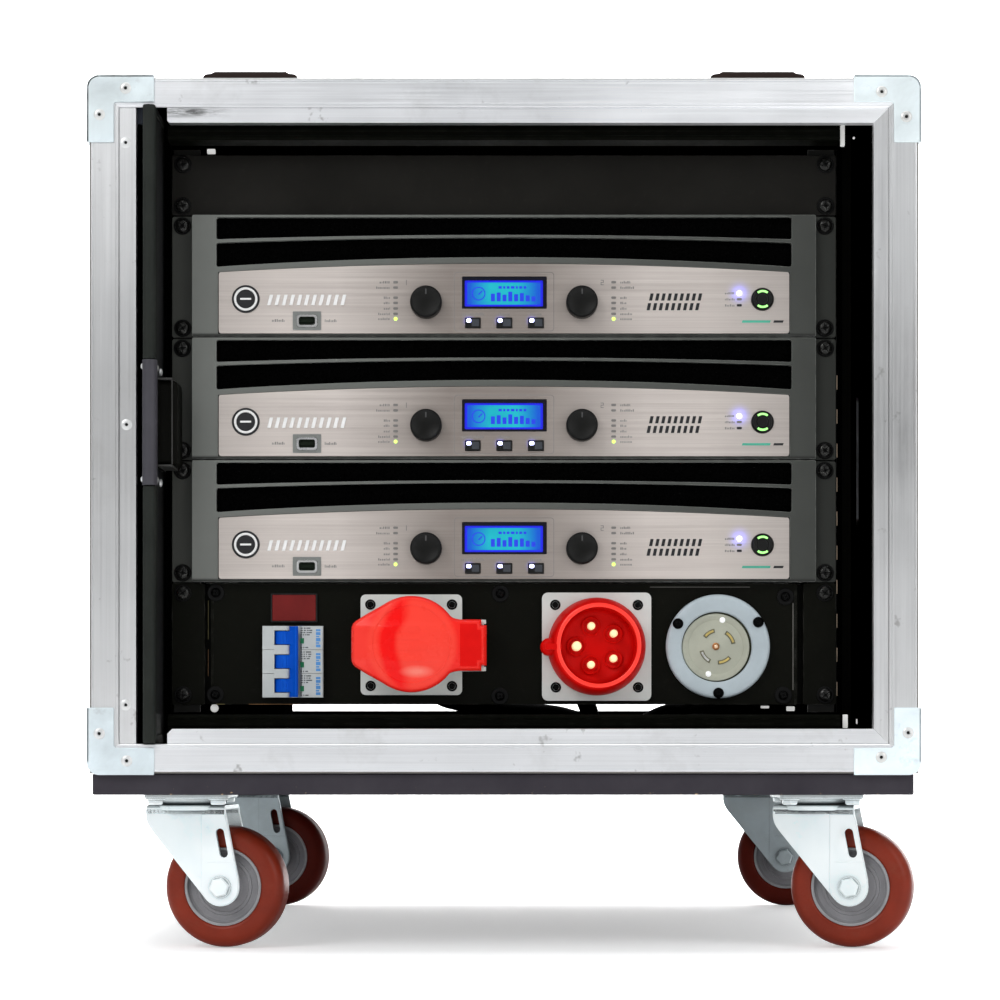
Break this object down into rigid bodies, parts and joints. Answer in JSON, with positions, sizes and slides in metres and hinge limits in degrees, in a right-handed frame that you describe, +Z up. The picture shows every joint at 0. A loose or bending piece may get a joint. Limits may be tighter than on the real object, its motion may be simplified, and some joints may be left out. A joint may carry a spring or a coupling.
{
  "type": "power amplifier rack",
  "caption": "Wheeled flight case with two slide-away doors holding rack power amplifiers, a blank panel and a mains distribution panel.",
  "frame": {"origin": "on the floor, in the middle of the whole object's footprint", "axes": "+Z up, -Y out of the front of the rack, +X to the right seen from the front"},
  "size_m": [0.5968, 0.6952, 0.6298],
  "materials": {
    "laminate": "black phenolic laminate on ply, fine pimple texture",
    "aluminium": "extruded aluminium, drawn along its length",
    "painted_board": "dark violet-grey painted ply, chipped at the lower edge",
    "black_steel": "black powder coat",
    "zinc": "bluish zinc plate",
    "tread": "maroon elastic rubber, semi-gloss",
    "wheel_core": "grey moulded nylon",
    "amp_case": "dark grey-green fine texture paint",
    "faceplate": "brushed champagne-silver plate",
    "black_plastic": "black moulded plastic",
    "grey_plastic": "light grey moulded plastic",
    "red_plastic": "bright red glossy moulded plastic",
    "blue_plastic": "bright blue moulded plastic",
    "white_plastic": "off-white moulded plastic",
    "lamp_lens": "dark red translucent lens",
    "door_board": "grey-black laminated door board"
  },
  "bodies": {
    "case": {"case_shell": "laminate", "front_frame": "aluminium", "rear_frame": "aluminium", "caster_board": "painted_board", "left_rack_rail": "black_steel", "right_rack_rail": "black_steel", "blank_panel": "black_steel", "distro_panel": "black_steel", "breaker_body": "white_plastic", "pilot_lamp": "lamp_lens", "mains_socket": "grey_plastic", "mains_inlet": "red_plastic", "round_inlet": "white_plastic", "amp_1_chassis": "amp_case", "amp_1_bezel": "amp_case", "amp_1_faceplate": "faceplate", "amp_2_chassis": "amp_case", "amp_2_bezel": "amp_case", "amp_2_faceplate": "faceplate", "amp_3_chassis": "amp_case", "amp_3_bezel": "amp_case", "amp_3_faceplate": "faceplate", "caster_front_left_plate": "zinc", "caster_front_right_plate": "zinc", "caster_rear_left_plate": "zinc", "caster_rear_right_plate": "zinc"},
    "front_left_swivel": {"caster_front_left_fork": "zinc"},
    "front_left_wheel": {"caster_front_left_wheel_core": "wheel_core", "caster_front_left_tread": "tread"},
    "front_right_swivel": {"caster_front_right_fork": "zinc"},
    "front_right_wheel": {"caster_front_right_wheel_core": "wheel_core", "caster_front_right_tread": "tread"},
    "rear_left_swivel": {"caster_rear_left_fork": "zinc"},
    "rear_left_wheel": {"caster_rear_left_wheel_core": "wheel_core", "caster_rear_left_tread": "tread"},
    "rear_right_swivel": {"caster_rear_right_fork": "zinc"},
    "rear_right_wheel": {"caster_rear_right_wheel_core": "wheel_core", "caster_rear_right_tread": "tread"},
    "front_door": {"front_door": "door_board", "front_latch_dish": "black_steel"},
    "front_latch": {"front_latch_handle": "zinc"},
    "rear_door": {"rear_door": "door_board", "rear_latch_dish": "black_steel"},
    "rear_latch": {"rear_latch_handle": "zinc"},
    "amp_1_left_knob": {"amp_1_knob_left": "black_plastic"},
    "amp_1_right_knob": {"amp_1_knob_right": "black_plastic"},
    "amp_1_power": {"amp_1_power_button": "black_plastic"},
    "amp_1_keys": {"amp_1_menu_keys": "black_plastic"},
    "amp_2_left_knob": {"amp_2_knob_left": "black_plastic"},
    "amp_2_right_knob": {"amp_2_knob_right": "black_plastic"},
    "amp_2_power": {"amp_2_power_button": "black_plastic"},
    "amp_2_keys": {"amp_2_menu_keys": "black_plastic"},
    "amp_3_left_knob": {"amp_3_knob_left": "black_plastic"},
    "amp_3_right_knob": {"amp_3_knob_right": "black_plastic"},
    "amp_3_power": {"amp_3_power_button": "black_plastic"},
    "amp_3_keys": {"amp_3_menu_keys": "black_plastic"},
    "breaker_lever": {"breaker_toggle": "blue_plastic"},
    "socket_cover": {"socket_cover": "red_plastic"},
    "left_handle": {"left_handle": "black_plastic"},
    "right_handle": {"right_handle": "black_plastic"}
  },
  "joints": [
    {"name": "front_left_swivel_turn", "type": "hinge", "parent": "case", "child": "front_left_swivel", "pos_m": [-0.23338, -0.262, 0.1042], "axis": [0, 0, 1], "continuous": true},
    {"name": "front_left_wheel_roll", "type": "hinge", "parent": "front_left_swivel", "child": "front_left_wheel", "pos_m": [-0.20671, -0.26622, 0.04445], "axis": [0.1564, 0.9877, 0], "continuous": true},
    {"name": "front_right_swivel_turn", "type": "hinge", "parent": "case", "child": "front_right_swivel", "pos_m": [0.22662, -0.262, 0.1042], "axis": [0, 0, 1], "continuous": true},
    {"name": "front_right_wheel_roll", "type": "hinge", "parent": "front_right_swivel", "child": "front_right_wheel", "pos_m": [0.25293, -0.26807, 0.04445], "axis": [0.225, 0.9744, 0], "continuous": true},
    {"name": "rear_left_swivel_turn", "type": "hinge", "parent": "case", "child": "rear_left_swivel", "pos_m": [-0.23338, 0.262, 0.1042], "axis": [0, 0, 1], "continuous": true},
    {"name": "rear_left_wheel_roll", "type": "hinge", "parent": "rear_left_swivel", "child": "rear_left_wheel", "pos_m": [-0.20671, 0.25778, 0.04445], "axis": [0.1564, 0.9877, 0], "continuous": true},
    {"name": "rear_right_swivel_turn", "type": "hinge", "parent": "case", "child": "rear_right_swivel", "pos_m": [0.22662, 0.262, 0.1042], "axis": [0, 0, 1], "continuous": true},
    {"name": "rear_right_wheel_roll", "type": "hinge", "parent": "rear_right_swivel", "child": "rear_right_wheel", "pos_m": [0.25321, 0.25731, 0.04445], "axis": [0.1736, 0.9848, 0], "continuous": true},
    {"name": "front_door_slide", "type": "slide", "parent": "case", "child": "front_door", "axis": [0, -1, 0], "range_m": [0, 0.53]},
    {"name": "front_latch_turn", "type": "hinge", "parent": "front_door", "child": "front_latch", "pos_m": [-0.24338, -0.317, 0.3785], "axis": [1, 0, 0], "range_deg": [-90, 0]},
    {"name": "rear_door_slide", "type": "slide", "parent": "case", "child": "rear_door", "axis": [0, 1, 0], "range_m": [0, 0.53]},
    {"name": "rear_latch_turn", "type": "hinge", "parent": "rear_door", "child": "rear_latch", "pos_m": [0.23662, 0.317, 0.3785], "axis": [1, 0, 0], "range_deg": [0, 90]},
    {"name": "amp_1_left_knob_turn", "type": "hinge", "parent": "case", "child": "amp_1_left_knob", "pos_m": [-0.05968, -0.31, 0.4681], "axis": [0, -1, 0], "continuous": true},
    {"name": "amp_1_right_knob_turn", "type": "hinge", "parent": "case", "child": "amp_1_right_knob", "pos_m": [0.05292, -0.31, 0.4681], "axis": [0, -1, 0], "continuous": true},
    {"name": "amp_1_power_press", "type": "slide", "parent": "case", "child": "amp_1_power", "axis": [0, 1, 0], "range_m": [0, 0.002]},
    {"name": "amp_1_keys_press", "type": "slide", "parent": "case", "child": "amp_1_keys", "axis": [0, 1, 0], "range_m": [0, 0.0008]},
    {"name": "amp_2_left_knob_turn", "type": "hinge", "parent": "case", "child": "amp_2_left_knob", "pos_m": [-0.05968, -0.31, 0.3792], "axis": [0, -1, 0], "continuous": true},
    {"name": "amp_2_right_knob_turn", "type": "hinge", "parent": "case", "child": "amp_2_right_knob", "pos_m": [0.05292, -0.31, 0.3792], "axis": [0, -1, 0], "continuous": true},
    {"name": "amp_2_power_press", "type": "slide", "parent": "case", "child": "amp_2_power", "axis": [0, 1, 0], "range_m": [0, 0.002]},
    {"name": "amp_2_keys_press", "type": "slide", "parent": "case", "child": "amp_2_keys", "axis": [0, 1, 0], "range_m": [0, 0.0008]},
    {"name": "amp_3_left_knob_turn", "type": "hinge", "parent": "case", "child": "amp_3_left_knob", "pos_m": [-0.05968, -0.31, 0.2903], "axis": [0, -1, 0], "continuous": true},
    {"name": "amp_3_right_knob_turn", "type": "hinge", "parent": "case", "child": "amp_3_right_knob", "pos_m": [0.05292, -0.31, 0.2903], "axis": [0, -1, 0], "continuous": true},
    {"name": "amp_3_power_press", "type": "slide", "parent": "case", "child": "amp_3_power", "axis": [0, 1, 0], "range_m": [0, 0.002]},
    {"name": "amp_3_keys_press", "type": "slide", "parent": "case", "child": "amp_3_keys", "axis": [0, 1, 0], "range_m": [0, 0.0008]},
    {"name": "breaker_throw", "type": "hinge", "parent": "case", "child": "breaker_lever", "pos_m": [-0.16388, -0.297, 0.2086], "axis": [0, 0, 1], "range_deg": [-70, 0]},
    {"name": "socket_cover_swing", "type": "hinge", "parent": "case", "child": "socket_cover", "pos_m": [-0.01878, -0.315, 0.22], "axis": [0, 0, 1], "range_deg": [0, 110]},
    {"name": "left_handle_lift", "type": "hinge", "parent": "case", "child": "left_handle", "pos_m": [-0.29078, 0, 0.413], "axis": [0, 1, 0], "range_deg": [0, 90]},
    {"name": "right_handle_lift", "type": "hinge", "parent": "case", "child": "right_handle", "pos_m": [0.28402, 0, 0.413], "axis": [0, -1, 0], "range_deg": [0, 90]}
  ]
}
